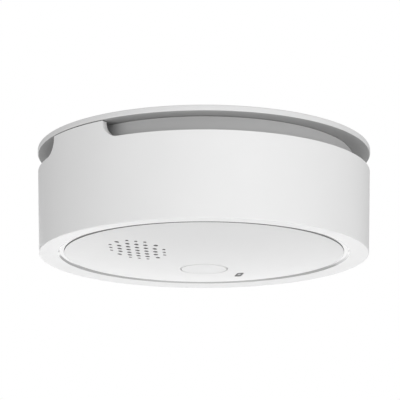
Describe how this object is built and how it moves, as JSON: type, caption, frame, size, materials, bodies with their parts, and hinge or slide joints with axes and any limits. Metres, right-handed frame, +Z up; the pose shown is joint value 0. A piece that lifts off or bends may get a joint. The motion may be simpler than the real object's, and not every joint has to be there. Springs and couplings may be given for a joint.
{
  "type": "smoke alarm",
  "caption": "Round white ceiling smoke alarm on a twist-off mounting plate, with an open smoke slot round its top, a domed lower panel, a sounder grille and a flush test button.",
  "frame": {"origin": "centre of the ceiling face of the mounting plate", "axes": "+Z points up into the ceiling, the alarm hangs to -Z; X and Y run along the rows of sounder holes, which lie towards -X -Y"},
  "size_m": [0.12, 0.12, 0.0431],
  "materials": {
    "plate_white": "fine moulded satin",
    "drum_white": "fine moulded satin",
    "cover_white": "fine moulded satin",
    "panel_white": "fine moulded satin",
    "button_white": "fine moulded satin",
    "smoked_lens": "polished",
    "screw_steel": "zinc plated",
    "spring_steel": "drawn wire",
    "switch_black": "moulded",
    "switch_plunger_black": "moulded",
    "led_clear": "clear epoxy",
    "shroud_rubber": "matt",
    "board_green": "solder mask",
    "chip_black": "moulded epoxy",
    "ferrite": "sintered",
    "capacitor_can": "sleeved",
    "cell_can": "sleeved can",
    "cradle_black": "moulded",
    "tab_nickel": "nickel strip",
    "foam_grey": "closed cell foam",
    "chamber_black": "matt moulded",
    "screen_steel": "etched sheet",
    "emitter_blue": "tinted epoxy",
    "diode_dark": "infrared pass epoxy",
    "shield_tin": "tinned sheet",
    "sounder_white": "moulded",
    "piezo_brass": "rolled",
    "piezo_white": "silvered ceramic",
    "contact_gold": "plated",
    "membrane_grey": "woven dust cloth"
  },
  "bodies": {
    "ceiling_base": {"mounting_plate": "plate_white"},
    "alarm_head": {"rear_housing": "drum_white", "front_cover": "cover_white", "front_panel": "panel_white", "assembly_screws": "screw_steel", "button_spring": "spring_steel", "switch_body": "switch_black", "indicator_lens": "smoked_lens", "status_led": "led_clear", "led_shroud": "shroud_rubber", "main_board": "board_green", "microcontroller": "chip_black", "boost_inductor": "ferrite", "storage_capacitor": "capacitor_can", "battery_cell": "cell_can", "battery_cradle": "cradle_black", "battery_tab_positive": "tab_nickel", "battery_tab_negative": "tab_nickel", "battery_pad": "foam_grey", "chamber_base": "chamber_black", "chamber_cover": "chamber_black", "insect_screen": "screen_steel", "infrared_emitter": "emitter_blue", "photodiode": "diode_dark", "photodiode_shield": "shield_tin", "sounder_housing": "sounder_white", "piezo_disc": "piezo_brass", "piezo_ceramic": "piezo_white", "sounder_contacts": "contact_gold", "sounder_gasket": "foam_grey", "grille_membrane": "membrane_grey"},
    "test_button": {"test_button": "button_white"},
    "switch_plunger": {"switch_plunger": "switch_plunger_black"}
  },
  "joints": [
    {"name": "twist_lock", "type": "hinge", "parent": "ceiling_base", "child": "alarm_head", "pos_m": [0, 0, 0], "axis": [0, 0, -1], "range_deg": [0, 15]},
    {"name": "button_press", "type": "slide", "parent": "alarm_head", "child": "test_button", "axis": [0, 0, 1], "range_m": [0, 0.0008], "stiffness_N_per_m": 500, "springref_m": -0.002, "deforming": ["button_spring"]},
    {"name": "switch_travel", "type": "slide", "parent": "alarm_head", "child": "switch_plunger", "axis": [0, 0, 1], "range_m": [0, 0.00031]}
  ],
  "couplings": [
    {"joint": "switch_travel", "follows": "button_press", "ratio": 0.375}
  ]
}
